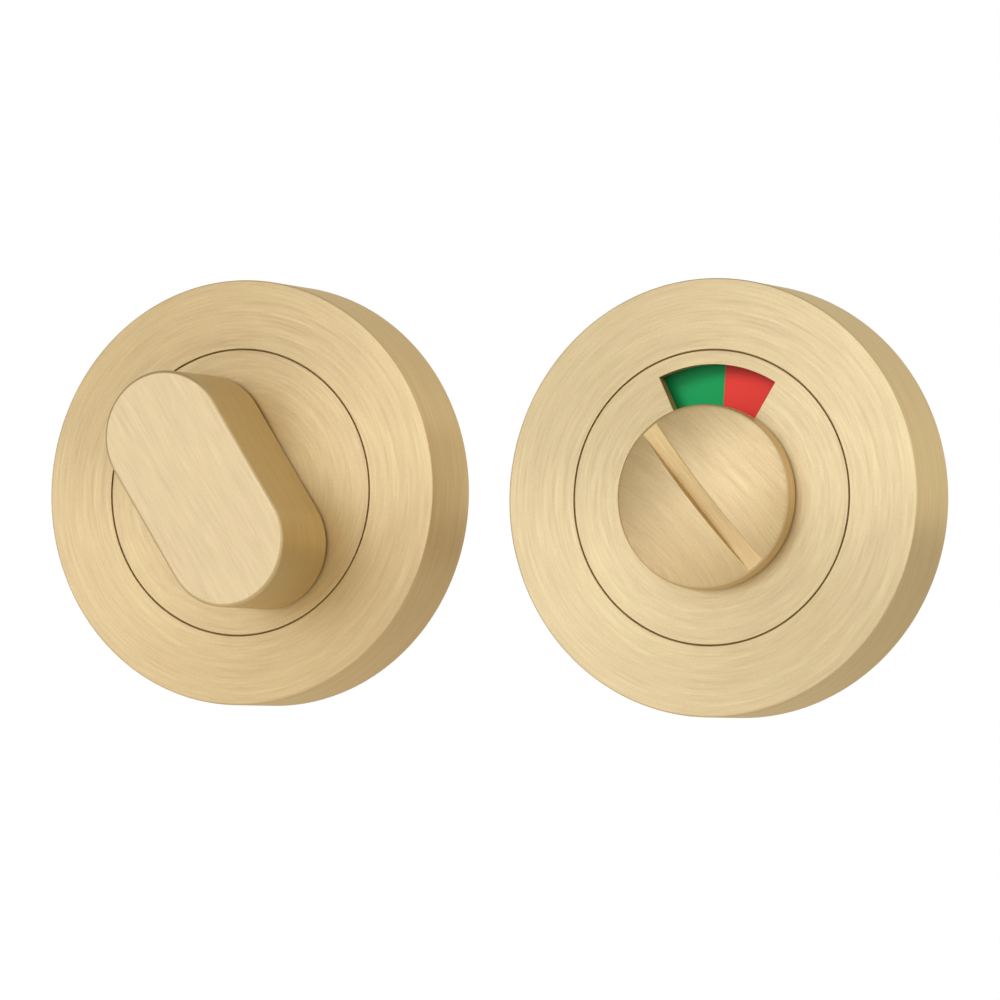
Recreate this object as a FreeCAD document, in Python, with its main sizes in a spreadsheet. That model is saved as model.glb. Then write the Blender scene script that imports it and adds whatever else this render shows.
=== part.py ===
import FreeCAD, Part
import math
import os
import re
import Sketcher
from FreeCAD import Vector

# A bathroom privacy lock in brushed brass: the thumb turn that works it from inside, and the release with
# a coin slot and a green and red indicator from outside, side by side on one upright plane.
# The door plane is y = 0, both halves face -Y, and each half is drawn in its own front view first:
# x to the right, y up, z forward from the door plane. Its Placement then stands it up.

LENGTHS = [
    ("rose_gap", 10, "between the two roses"),
    ("rose_depth", 10.8, "door plane to rose face"),
    ("cover_wall", 1.6, "side wall of a rose cover"),
    ("cover_face", 2.5, "front wall of a rose cover"),
    ("edge_break", 0.3, "chamfer on a cover's outer edges"),
    ("knob_diameter", 21.86, "release knob"),
    ("knob_border", 6.42, "rim of the knob to the boss's edge"),
    ("seam_gap", 0.3, "width of the round seam between boss and cover"),
    ("seam_break", 0.12, "chamfer on each side of the seam"),
    ("fixing_gap", 0.45, "boss to the head of a fixing"),
    ("fixing_room", 0.2, "head of a fixing to the inside of the cover"),
    ("flange_thickness", 3, "flange that the cover screws on to"),
    ("flange_clearance", 0.25, "flange rim to the inside of the cover"),
    ("turn_boss_wall", 2, "side wall of the turn half's boss"),
    ("turn_face_thickness", 2.5, "front wall of the turn half's boss"),
    ("release_boss_wall", 0.8, "side wall of the release half's boss"),
    ("window_plate", 1.6, "front wall of the release half's boss"),
    ("hub_diameter", 18, "bearing hub behind the turn half's front wall"),
    ("hub_height", 5.2, "door plane to the rear end of that hub"),
    ("rib_thickness", 1.6, "ribs between hub and boss wall"),
    ("fixing_hole", 4.6, "clearance hole for a fixing"),
    ("shaft_diameter", 10, "shafts of the turn and of the release"),
    ("shaft_chamfer", 0.25, "at the rear end of a shaft"),
    ("shaft_land", 0.4, "shaft between its last groove and that chamfer"),
    ("running_fit", 0.06, "radial, shaft in its bearing"),
    ("bush_wall", 1, "nylon bush"),
    ("bush_fit", 0.05, "radial, bush in its bore"),
    ("bush_flange", 0.7, "thickness of a bush's flange"),
    ("bush_flange_diameter", 15, "outside of a bush's flange"),
    ("bush_set", 0.2, "bush end below the rose face"),
    ("clip_thickness", 0.8, "retaining ring"),
    ("clip_width", 1.9, "radial width of a retaining ring"),
    ("clip_gap", 3, "opening between a ring's lugs"),
    ("lug_diameter", 2.4, "lugs of a retaining ring"),
    ("lug_hole", 1, "hole in a lug"),
    ("groove_depth", 0.5, "shaft groove for a retaining ring"),
    ("groove_play", 0.05, "on each side of a ring in its groove"),
    ("ring_fit", 0.08, "radial, ring on the groove floor"),
    ("washer_thickness", 0.3, "wave washer"),
    ("washer_fit", 0.4, "radial, wave washer around its shaft"),
    ("washer_width", 2, "radial width of a wave washer"),
    ("washer_room", 1.1, "space that a wave washer fills"),
    ("washer_play", 0.1, "at each end of that space"),
    ("turn_length", 31.1, "oval grip, end to end"),
    ("turn_width", 15.8, "oval grip, side to side"),
    ("turn_projection", 12.7, "rose face to the front of the grip"),
    ("turn_gap", 0.4, "rose face to the back of the grip"),
    ("turn_front_edge", 0.45, "round on the grip's front edge"),
    ("turn_back_edge", 0.25, "round on the grip's back edge"),
    ("spindle_side", 5, "square spindle"),
    ("spindle_fit", 0.05, "spindle to each side of its socket"),
    ("spindle_reach", 45, "spindle behind the door plane"),
    ("spindle_chamfer", 0.6, "at the free end of the spindle"),
    ("socket_depth", 8.5, "square socket in the turn's shaft"),
    ("socket_end_gap", 0.3, "spindle end to socket floor"),
    ("pin_diameter", 2, "cross pin through shaft and spindle"),
    ("pin_fit", 0.02, "radial, cross pin in its hole"),
    ("pin_inset", 0.3, "each pin end below the shaft's surface"),
    ("pin_height", 6.6, "door plane to the cross pin"),
    ("bolt_diameter", 4, "fixing bolts"),
    ("bolt_waist", 3.4, "bolt shank inside the flange"),
    ("bolt_waist_tail", 0.5, "waist past the door plane"),
    ("bolt_head_diameter", 6.4, "fixing bolt head"),
    ("bolt_head_height", 2.2, "fixing bolt head"),
    ("bolt_head_round", 0.55, "bevel around a fixing bolt's head"),
    ("bolt_reach", 26, "bolt behind the door plane"),
    ("recess_width", 1, "cross recess arm"),
    ("recess_span", 4, "cross recess, end to end"),
    ("recess_depth", 1.3, "cross recess"),
    ("post_diameter", 6.8, "threaded fixing post"),
    ("post_reach", 20, "fixing post behind the door plane"),
    ("post_bore", 3.3, "tapped hole in a fixing post"),
    ("post_bore_depth", 16, "tapped hole in a fixing post"),
    ("post_fit", 0.05, "radial, post spigot in the flange"),
    ("rivet_diameter", 6, "riveted head of a fixing post"),
    ("rivet_height", 0.7, "riveted head of a fixing post"),
    ("knob_gap", 0.35, "rose face to the back of the knob"),
    ("knob_wall_height", 2.45, "rose face to the rim of the knob's crown"),
    ("knob_crown", 1.6, "rise of the domed front above its rim"),
    ("knob_edge", 0.2, "round on the rim of the crown"),
    ("slot_width", 2.1, "coin slot"),
    ("slot_height", 2.6, "rose face to the flat floor of the coin slot"),
    ("release_socket_depth", 9, "square socket in the release's shaft"),
    ("flat_depth", 0.8, "each of the two flats that drive the indicator"),
    ("flats_fit", 0.05, "indicator on those flats, each side"),
    ("indicator_play", 0.4, "flange of the bush to the indicator plate"),
    ("field_thickness", 0.2, "green and red enamel"),
    ("field_overlap", 0.4, "coloured fields past the window's inner edge"),
    ("indicator_thickness", 1, "indicator plate"),
    ("indicator_clearance", 0.35, "indicator plate to the boss wall"),
    ("indicator_hub_diameter", 15, "round middle of the indicator plate"),
    ("window_lip", 0.75, "inside of the boss wall to the window's outer edge"),
    ("window_cover", 0.93, "window's inner edge under the rim of the knob"),
    ("stop_post_diameter", 4.4, "stop posts inside the release half"),
    ("stop_post_inset", 1.35, "stop post to the inside of the boss wall"),
    ("pilot_hole", 1.9, "tapped hole in a stop post"),
    ("pilot_depth", 4, "tapped hole in a stop post"),
    ("back_plate_thickness", 1.6, "rear bearing plate"),
    ("back_plate_height", 2.8, "door plane to the rear of that plate"),
    ("back_plate_fit", 0.15, "radial, bearing plate in the boss"),
    ("plate_screw_diameter", 1.8, "countersunk screws of the bearing plate"),
    ("plate_screw_head", 3.6, "their heads"),
    ("plate_screw_length", 4.4, "their whole length"),
    ("plate_screw_hole", 2.2, "their holes in the plate"),
    ("head_fit", 0.08, "radial, screw head in its countersink"),
]
ANGLES = [
    ("turn_angle", 34, "grip leaning left of upright at rest"),
    ("knob_angle", 41, "coin slot leaning left of upright at rest"),
    ("quarter_turn", 90, "from unlocked to locked"),
    ("window_left_angle", 26, "window's left side from upright"),
    ("window_right_angle", 30, "window's right side from upright"),
    ("boundary_angle", 43.1, "from the coin slot clockwise to where green meets red"),
    ("stop_post_angle", 150, "each stop post from upright"),
    ("stop_gap_angle", 1, "indicator to stop post at either limit"),
]
COUNTS = [
    ("rib_count", 6, "ribs around the turn half's hub"),
    ("washer_waves", 3, "waves around a wave washer"),
]

doc = FreeCAD.newDocument("privacy_lock")
sheet = doc.addObject("Spreadsheet::Sheet", "Sizes")


def fill_sheet():
    """One row for each driving size: its name, its value and what it is."""
    for row, (alias, value, note) in enumerate(LENGTHS + ANGLES + COUNTS, start=1):
        sheet.set(f"A{row}", alias)
        sheet.set(f"B{row}", str(value))
        sheet.set(f"C{row}", note)
        sheet.setAlias(f"B{row}", alias)
    doc.recompute()


fill_sheet()
NAMES = {alias for alias, _, _ in LENGTHS + ANGLES + COUNTS}

# Radii and places along the axis that several pieces share, each worked out from the sheet.
# A rose grows outward from its knob: boss, seam, fixings, then the cover around them, 52 mm across.
BOSS_RADIUS = "(knob_diameter / 2 + knob_border)"
COVER_BORE = f"({BOSS_RADIUS} + seam_gap)"
FIXING_PITCH = f"({BOSS_RADIUS} + fixing_gap + bolt_head_diameter / 2)"
COVER_INSIDE = f"({FIXING_PITCH} + bolt_head_diameter / 2 + fixing_room)"
ROSE_RADIUS = f"({COVER_INSIDE} + cover_wall)"
FLANGE_RADIUS = f"({COVER_INSIDE} - flange_clearance)"
RELEASE_AXIS = f"(2 * {ROSE_RADIUS} + rose_gap)"
COVER_UNDERSIDE = "(rose_depth - cover_face)"
SHAFT_RADIUS = "(shaft_diameter / 2)"
FLATS = "(shaft_diameter - 2 * flat_depth)"
GROOVE_RADIUS = "(shaft_diameter / 2 - groove_depth)"
BUSH_BORE = "(shaft_diameter / 2 + running_fit)"
BUSH_OUTSIDE = f"({BUSH_BORE} + bush_wall)"
BASE_BORE = f"({BUSH_OUTSIDE} + bush_fit)"
SOCKET_SIDE = "(spindle_side + 2 * spindle_fit)"
TURN_BACK = "(rose_depth + turn_gap)"
TURN_BUSH_REAR = "(hub_height - bush_flange)"
TURN_CLIP_REAR = f"({TURN_BUSH_REAR} - washer_room - clip_thickness)"
TURN_SHAFT_END = f"({TURN_CLIP_REAR} - groove_play - shaft_land - shaft_chamfer)"
KNOB_BACK = "(rose_depth + knob_gap)"
WINDOW_UNDERSIDE = "(rose_depth - window_plate)"
WINDOW_INNER = "(knob_diameter / 2 - window_cover)"
RELEASE_INSIDE = f"({BOSS_RADIUS} - release_boss_wall)"
WINDOW_OUTER = f"({RELEASE_INSIDE} - window_lip)"
INDICATOR_RADIUS = f"({RELEASE_INSIDE} - indicator_clearance)"
INDICATOR_FRONT = f"({WINDOW_UNDERSIDE} - bush_flange - indicator_play)"
INDICATOR_REAR = f"({INDICATOR_FRONT} - indicator_thickness)"
INDICATOR_CLIP_REAR = f"({INDICATOR_REAR} - groove_play - clip_thickness)"
FIELD_INNER = f"({WINDOW_INNER} - field_overlap)"
BACK_PLATE_FRONT = "(back_plate_height + back_plate_thickness)"
RELEASE_CLIP_REAR = "(back_plate_height - washer_room - clip_thickness)"
RELEASE_SHAFT_END = f"({RELEASE_CLIP_REAR} - groove_play - shaft_land - shaft_chamfer)"
POST_PITCH = f"({RELEASE_INSIDE} - stop_post_inset - stop_post_diameter / 2)"
POST_HALF_ANGLE = f"(asin(stop_post_diameter / 2 / {POST_PITCH}) / 1 deg)"
INDICATOR_REACH = f"(stop_post_angle - {POST_HALF_ANGLE} - stop_gap_angle)"
INDICATOR_LEFT = f"({INDICATOR_REACH} - quarter_turn)"


def bind(text):
    """The same formula with each size named as a cell of the sheet."""
    return re.sub(r"[a-z_]+", lambda word: "Sizes." + word[0] if word[0] in NAMES else word[0], text)


def number(text):
    return float(sheet.evalExpression(bind(text)))


def origin_part(body, role):
    return next(feature for feature in body.Origin.OriginFeatures if feature.Role == role)


def new_body(label, several=False):
    body = doc.addObject("PartDesign::Body", label)
    body.Label = label
    body.AllowCompound = several
    return body


def new_sketch(body, name, role="XY_Plane", lift="0"):
    """A sketch on one of the body's own planes, moved along the plane's normal by lift."""
    sketch = body.newObject("Sketcher::SketchObject", name)
    sketch.AttachmentSupport = [(origin_part(body, role), "")]
    sketch.MapMode = "FlatFace"
    if lift != "0":
        sketch.setExpression("AttachmentOffset.Base.z", bind(lift))
    return sketch


def place_point(sketch, item, point, along, up):
    """Holds a point of the sketch at two formulas, or on an axis where one is 0."""
    for kind, axis, text in (("DistanceX", -2, along), ("DistanceY", -1, up)):
        if text == "0":
            sketch.addConstraint(Sketcher.Constraint("PointOnObject", item, point, axis))
        else:
            held = Sketcher.Constraint(kind, -1, 1, item, point, number(text))
            sketch.setExpression(f"Constraints[{sketch.addConstraint(held)}]", bind(text))


def outline(sketch, corners, crown=None):
    """A closed outline through corners given as pairs of formulas.

    The side that starts at corner number crown is an arc centred on the sketch's upright axis.
    """
    first = sketch.GeometryCount
    points = [Vector(number(along), number(up), 0) for along, up in corners]
    count = len(points)
    for index, start in enumerate(points):
        end = points[(index + 1) % count]
        if index == crown:
            rise = end.y - start.y
            radius = (start.x ** 2 + rise ** 2) / (2 * rise)
            centre = Vector(0, end.y - radius, 0)
            rim = math.atan2(start.y - centre.y, start.x)
            circle = Part.Circle(centre, Vector(0, 0, 1), radius)
            sketch.addGeometry(Part.ArcOfCircle(circle, rim, math.pi / 2))
        else:
            sketch.addGeometry(Part.LineSegment(start, end))
    for index in range(count):
        after = first + (index + 1) % count
        sketch.addConstraint(Sketcher.Constraint("Coincident", first + index, 2, after, 1))
    if crown is not None:
        sketch.addConstraint(Sketcher.Constraint("PointOnObject", first + crown, 3, -2))
    for index, (along, up) in enumerate(corners):
        place_point(sketch, first + index, 1, along, up)


def rectangle(sketch, left, right, bottom, top):
    outline(sketch, [(left, bottom), (right, bottom), (right, top), (left, top)])


def circle(sketch, diameter, along="0", up="0"):
    centre = Vector(number(along), number(up), 0)
    item = sketch.addGeometry(Part.Circle(centre, Vector(0, 0, 1), number(diameter) / 2))
    if along == "0" and up == "0":
        sketch.addConstraint(Sketcher.Constraint("Coincident", item, 3, -1, 1))
    else:
        place_point(sketch, item, 3, along, up)
    size = sketch.addConstraint(Sketcher.Constraint("Diameter", item, number(diameter)))
    sketch.setExpression(f"Constraints[{size}]", bind(diameter))


def oval(sketch, length, width):
    """An upright oval with straight sides and half-round ends, centred on the origin."""
    half_width = number(width) / 2
    rise = number(length) / 2 - half_width
    up = Vector(0, 0, 1)
    top = Part.Circle(Vector(0, rise, 0), up, half_width)
    bottom = Part.Circle(Vector(0, -rise, 0), up, half_width)
    sketch.addGeometry(Part.ArcOfCircle(top, 0, math.pi))
    sketch.addGeometry(Part.LineSegment(Vector(-half_width, rise, 0), Vector(-half_width, -rise, 0)))
    sketch.addGeometry(Part.ArcOfCircle(bottom, math.pi, 2 * math.pi))
    sketch.addGeometry(Part.LineSegment(Vector(half_width, -rise, 0), Vector(half_width, rise, 0)))
    for item in range(4):
        sketch.addConstraint(Sketcher.Constraint("Tangent", item, 2, (item + 1) % 4, 1))
    sketch.addConstraint(Sketcher.Constraint("Equal", 0, 2))
    sketch.addConstraint(Sketcher.Constraint("Symmetric", 0, 3, 2, 3, -1, 1))
    sketch.addConstraint(Sketcher.Constraint("PointOnObject", 0, 3, -2))
    radius = sketch.addConstraint(Sketcher.Constraint("Radius", 0, half_width))
    sketch.setExpression(f"Constraints[{radius}]", bind(f"{width} / 2"))
    centre = sketch.addConstraint(Sketcher.Constraint("DistanceY", -1, 1, 0, 3, rise))
    sketch.setExpression(f"Constraints[{centre}]", bind(f"({length} - {width}) / 2"))


def feature(body, kind, name, sketch):
    made = body.newObject("PartDesign::" + kind, name)
    made.Profile = sketch
    sketch.Visibility = False
    return made


def turned(body, name, corners, crown=None, lift="0"):
    """A turned form: the half outline in radius and height, spun about the upright axis."""
    sketch = new_sketch(body, name + "_outline", "XZ_Plane", lift)
    outline(sketch, corners, crown)
    spun = feature(body, "Revolution", name, sketch)
    spun.ReferenceAxis = (sketch, ["V_Axis"])
    spun.Angle = 360
    doc.recompute()
    return spun


def raised(body, name, sketch, height):
    pad = feature(body, "Pad", name, sketch)
    pad.setExpression("Length", bind(height))
    doc.recompute()
    return pad


def cut(body, name, sketch, depth, forward=False):
    """A pocket of the given depth, backward unless forward is set, that has to take material away."""
    before = body.Shape.Volume
    pocket = feature(body, "Pocket", name, sketch)
    pocket.Reversed = forward
    pocket.setExpression("Length", bind(depth))
    doc.recompute()
    if body.Shape.Volume >= before:
        raise RuntimeError(f"{body.Label}: {name} cuts nothing")
    return pocket


def repeated(body, name, original, count, angle="360"):
    """The same feature again around the body's z axis."""
    pattern = body.newObject("PartDesign::PolarPattern", name)
    pattern.Originals = [original]
    pattern.Axis = (origin_part(body, "Z_Axis"), [""])
    pattern.setExpression("Angle", bind(angle))
    pattern.setExpression("Occurrences", bind(count))
    body.Tip = pattern
    doc.recompute()
    return pattern


def edges_where(shape, wanted):
    return [f"Edge{index}" for index, edge in enumerate(shape.Edges, start=1) if wanted(edge)]


def rounded(body, name, radius, wanted):
    """A round on each edge of the last feature that wanted picks."""
    base = body.Tip
    names = edges_where(base.Shape, wanted)
    fillet = body.newObject("PartDesign::Fillet", name)
    fillet.Base = (base, names)
    fillet.setExpression("Radius", bind(radius))
    doc.recompute()
    return fillet


def at_height(height, beyond):
    """Picks edges that lie flat at a height and reach further than beyond from the axis."""
    level = number(height)
    reach = number(beyond)

    def wanted(edge):
        box = edge.BoundBox
        flat = abs(box.ZMin - level) < 1e-4 and abs(box.ZMax - level) < 1e-4
        furthest = max(math.hypot(vertex.X, vertex.Y) for vertex in edge.Vertexes)
        return flat and furthest > reach
    return wanted


def stand(piece, along="0", turn="0"):
    """Stands a piece drawn in front view on the door: moved along X, turned left about its axis."""
    piece.setExpression("Placement", bind(
        f"create(<<placement>>; create(<<vector>>; {along}; 0; 0); "
        "create(<<rotation>>; create(<<vector>>; 1; 0; 0); 90) * "
        f"create(<<rotation>>; create(<<vector>>; 0; 0; 1); {turn}))"))
    return piece


def rose_cover(label, along):
    """Turned brass cap that screws over the base and hides the fixings."""
    body = new_body(label)
    turned(body, "cap", [
        (COVER_BORE, COVER_UNDERSIDE),
        (COVER_INSIDE, COVER_UNDERSIDE),
        (COVER_INSIDE, "0"),
        (f"{ROSE_RADIUS} - edge_break", "0"),
        (ROSE_RADIUS, "edge_break"),
        (ROSE_RADIUS, "rose_depth - edge_break"),
        (f"{ROSE_RADIUS} - edge_break", "rose_depth"),
        (f"{COVER_BORE} + seam_break", "rose_depth"),
        (COVER_BORE, "rose_depth - seam_break"),
    ])
    return stand(body, along)


def fixing_holes(body):
    """Two clearance holes through the flange, above and below the axis."""
    sketch = new_sketch(body, "fixing_hole_circles")
    for side in ("", "-"):
        circle(sketch, "fixing_hole", "0", side + FIXING_PITCH)
    cut(body, "fixing_holes", sketch, "flange_thickness", forward=True)


def turn_base():
    """Cast brass base of the turn half: flange, boss, bearing hub and the ribs between them."""
    body = new_body("turn_base")
    underside = "(rose_depth - turn_face_thickness)"
    inside = f"({BOSS_RADIUS} - turn_boss_wall)"
    turned(body, "shell", [
        (BASE_BORE, "hub_height"),
        ("hub_diameter / 2", "hub_height"),
        ("hub_diameter / 2", underside),
        (inside, underside),
        (inside, "0"),
        (FLANGE_RADIUS, "0"),
        (FLANGE_RADIUS, "flange_thickness"),
        (BOSS_RADIUS, "flange_thickness"),
        (BOSS_RADIUS, "rose_depth - seam_break"),
        (f"{BOSS_RADIUS} - seam_break", "rose_depth"),
        (BASE_BORE, "rose_depth"),
    ])
    sketch = new_sketch(body, "rib_outline", lift="hub_height")
    bite = "turn_boss_wall / 2"
    side = "rib_thickness / 2"
    rectangle(sketch, f"hub_diameter / 2 - {bite}", f"{inside} + {bite}", "-" + side, side)
    rib = raised(body, "rib", sketch, f"{underside} - hub_height + turn_face_thickness / 2")
    repeated(body, "ribs", rib, "rib_count")
    fixing_holes(body)
    return stand(body)


def release_base():
    """Cast brass base of the release half: flange, hollow boss with the window, and two stop posts."""
    body = new_body("release_base_blank")
    turned(body, "shell", [
        (BASE_BORE, WINDOW_UNDERSIDE),
        (RELEASE_INSIDE, WINDOW_UNDERSIDE),
        (RELEASE_INSIDE, "0"),
        (FLANGE_RADIUS, "0"),
        (FLANGE_RADIUS, "flange_thickness"),
        (BOSS_RADIUS, "flange_thickness"),
        (BOSS_RADIUS, "rose_depth - seam_break"),
        (f"{BOSS_RADIUS} - seam_break", "rose_depth"),
        (BASE_BORE, "rose_depth"),
    ])
    posts = new_sketch(body, "stop_post_circles", lift=BACK_PLATE_FRONT)
    pilots = new_sketch(body, "pilot_circles", lift=BACK_PLATE_FRONT)
    for side in ("-", ""):
        along = side + f"{POST_PITCH} * sin(stop_post_angle)"
        up = f"{POST_PITCH} * cos(stop_post_angle)"
        circle(posts, "stop_post_diameter", along, up)
        circle(pilots, "pilot_hole", along, up)
    raised(body, "stop_posts", posts, f"{WINDOW_UNDERSIDE} - {BACK_PLATE_FRONT} + window_plate / 2")
    cut(body, "pilots", pilots, "pilot_depth", forward=True)
    fixing_holes(body)

    below = f"({WINDOW_UNDERSIDE} - window_plate / 2)"
    window = ring_sector("window", WINDOW_INNER, WINDOW_OUTER, "(2 * window_plate)", below,
                         "window_left_angle", "window_right_angle")
    base = doc.addObject("Part::Cut", "release_base")
    base.Label = "release_base"
    base.Base = body
    base.Tool = window
    return stand(base, RELEASE_AXIS)


def sector(name, radius, height, lift, left, right):
    """A pie slice that reaches from left to right of upright, both in degrees."""
    slice_ = doc.addObject("Part::Cylinder", name)
    slice_.setExpression("Radius", bind(radius))
    slice_.setExpression("Height", bind(height))
    slice_.setExpression("Angle", bind(f"{left} + {right}"))
    slice_.setExpression("Placement", bind(
        f"create(<<placement>>; create(<<vector>>; 0; 0; {lift}); "
        f"create(<<rotation>>; create(<<vector>>; 0; 0; 1); 90 - ({right})))"))
    return slice_


def ring_sector(name, inner, outer, height, lift, left, right):
    """A flat piece of ring that reaches from left to right of upright."""
    ring = doc.addObject("Part::Cut", name)
    ring.Label = name
    ring.Base = sector(name + "_slice", outer, height, lift, left, right)
    middle = doc.addObject("Part::Cylinder", name + "_middle")
    middle.setExpression("Radius", bind(inner))
    middle.setExpression("Height", bind(f"3 * {height}"))
    middle.setExpression("Placement.Base.z", bind(f"{lift} - {height}"))
    ring.Tool = middle
    return ring


def shaft_outline(end, head_back, clip_rears):
    """Right side of a shaft from its rear end to the grip, with a groove for each retaining ring."""
    corners = [
        ("0", end),
        (f"{SHAFT_RADIUS} - shaft_chamfer", end),
        (SHAFT_RADIUS, f"{end} + shaft_chamfer"),
    ]
    for rear in clip_rears:
        low = f"{rear} - groove_play"
        high = f"{rear} + clip_thickness + groove_play"
        corners += [(SHAFT_RADIUS, low), (GROOVE_RADIUS, low), (GROOVE_RADIUS, high), (SHAFT_RADIUS, high)]
    return corners + [(SHAFT_RADIUS, head_back)]


def square_socket(body, end, depth):
    """Square hole up the shaft from its rear end, for the spindle."""
    sketch = new_sketch(body, "socket_outline", lift=end)
    half = f"{SOCKET_SIDE} / 2"
    rectangle(sketch, f"-{half}", half, f"-{half}", half)
    return cut(body, "socket", sketch, depth, forward=True)


def cross_hole(body, diameter, reach):
    """Hole from side to side for the cross pin."""
    sketch = new_sketch(body, "pin_circle", "YZ_Plane", f"-({reach})")
    circle(sketch, diameter, "0", "pin_height")
    return cut(body, "pin_hole", sketch, f"2 * ({reach})", forward=True)


def thumb_turn():
    """Forged brass grip and its shaft, in one piece."""
    body = new_body("thumb_turn")
    grip = new_sketch(body, "grip_outline", lift=TURN_BACK)
    oval(grip, "turn_length", "turn_width")
    raised(body, "grip", grip, "turn_projection - turn_gap")
    front = "(rose_depth + turn_projection)"
    rounded(body, "front_edge", "turn_front_edge", at_height(front, "0"))
    rounded(body, "back_edge", "turn_back_edge", at_height(TURN_BACK, "0"))
    inside_grip = f"({TURN_BACK} + turn_back_edge)"
    shaft = shaft_outline(TURN_SHAFT_END, inside_grip, [TURN_CLIP_REAR])
    turned(body, "shaft", shaft + [("0", inside_grip)])
    square_socket(body, TURN_SHAFT_END, "socket_depth")
    cross_hole(body, "pin_diameter + 2 * pin_fit", "shaft_diameter")
    return stand(body, "0", "turn_angle")


def spindle():
    """Square steel spindle that carries the turn's motion through the door."""
    body = new_body("spindle")
    section = new_sketch(body, "section", lift="-spindle_reach")
    half = "spindle_side / 2"
    rectangle(section, f"-{half}", half, f"-{half}", half)
    length = f"spindle_reach + {TURN_SHAFT_END} + socket_depth - socket_end_gap"
    raised(body, "bar", section, length)
    end = number("-spindle_reach")
    bar = body.Tip
    chamfer = body.newObject("PartDesign::Chamfer", "end_chamfer")
    chamfer.Base = (bar, edges_where(bar.Shape, lambda edge: abs(edge.BoundBox.ZMax - end) < 1e-4))
    chamfer.setExpression("Size", bind("spindle_chamfer"))
    doc.recompute()
    cross_hole(body, "pin_diameter + 2 * pin_fit", "spindle_side")
    return stand(body, "0", "turn_angle")


def spindle_pin():
    """Steel pin through the turn's shaft and the spindle, trapped inside the bush."""
    body = new_body("spindle_pin")
    half = f"({SHAFT_RADIUS} - pin_inset)"
    sketch = new_sketch(body, "section", "YZ_Plane", f"-{half}")
    circle(sketch, "pin_diameter", "0", "pin_height")
    raised(body, "pin", sketch, f"2 * {half}")
    return stand(body, "0", "turn_angle")


def bush(label, along, flange_rear, bore_rear):
    """Flanged nylon bearing, pressed into the base from behind."""
    body = new_body(label)
    turned(body, "sleeve", [
        (BUSH_BORE, flange_rear),
        ("bush_flange_diameter / 2", flange_rear),
        ("bush_flange_diameter / 2", bore_rear),
        (BUSH_OUTSIDE, bore_rear),
        (BUSH_OUTSIDE, "rose_depth - bush_set"),
        (BUSH_BORE, "rose_depth - bush_set"),
    ])
    return stand(body, along)


def retaining_ring(label, along, turn, rear):
    """Spring steel ring in a shaft groove, open at the bottom between two lugs with holes."""
    body = new_body(label)
    inside = f"({GROOVE_RADIUS} + ring_fit)"
    lug_up = f"-({inside} + clip_width / 2)"
    lug_along = "(clip_gap + lug_diameter) / 2"
    sketch = new_sketch(body, "ring_circles", lift=rear)
    circle(sketch, f"2 * ({inside} + clip_width)")
    circle(sketch, f"2 * {inside}")
    raised(body, "ring", sketch, "clip_thickness")
    lugs = new_sketch(body, "lug_circles", lift=rear)
    holes = new_sketch(body, "lug_hole_circles", lift=rear)
    for side in ("-", ""):
        circle(lugs, "lug_diameter", side + lug_along, lug_up)
        circle(holes, "lug_hole", side + lug_along, lug_up)
    raised(body, "lugs", lugs, "clip_thickness")
    cut(body, "lug_holes", holes, "clip_thickness", forward=True)
    opening = new_sketch(body, "opening_outline", lift=rear)
    rectangle(opening, "-clip_gap / 2", "clip_gap / 2", f"-({inside} + clip_width + lug_diameter)", "0")
    cut(body, "opening", opening, "clip_thickness", forward=True)
    return stand(body, along, turn)


def wave_edge(radius, middle, swing, waves):
    """A closed smooth curve that rises and falls around a circle."""
    steps = 12 * waves
    points = []
    for step in range(steps):
        angle = 2 * math.pi * step / steps
        height = middle + swing * math.sin(waves * angle)
        points.append(Vector(radius * math.cos(angle), radius * math.sin(angle), height))
    curve = Part.BSplineCurve()
    curve.interpolate(Points=points, PeriodicFlag=True)
    return curve.toShape()


def wave_washer(label, along, rear):
    """Spring steel ring in waves that keeps a light drag on the shaft."""
    thickness = number("washer_thickness")
    free = number("washer_room - 2 * washer_play")
    swing = (free - thickness) / 2
    low = number(f"{rear} + washer_play") + swing
    inner = number(f"{SHAFT_RADIUS} + washer_fit")
    outer = inner + number("washer_width")
    waves = int(number("washer_waves"))
    rims = [wave_edge(radius, low, swing, waves) for radius in (inner, outer)]
    surface = Part.makeRuledSurface(*rims)
    washer = doc.addObject("Part::Feature", label)
    washer.Label = label
    washer.Shape = surface.extrude(Vector(0, 0, thickness))
    return stand(washer, along)


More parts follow.
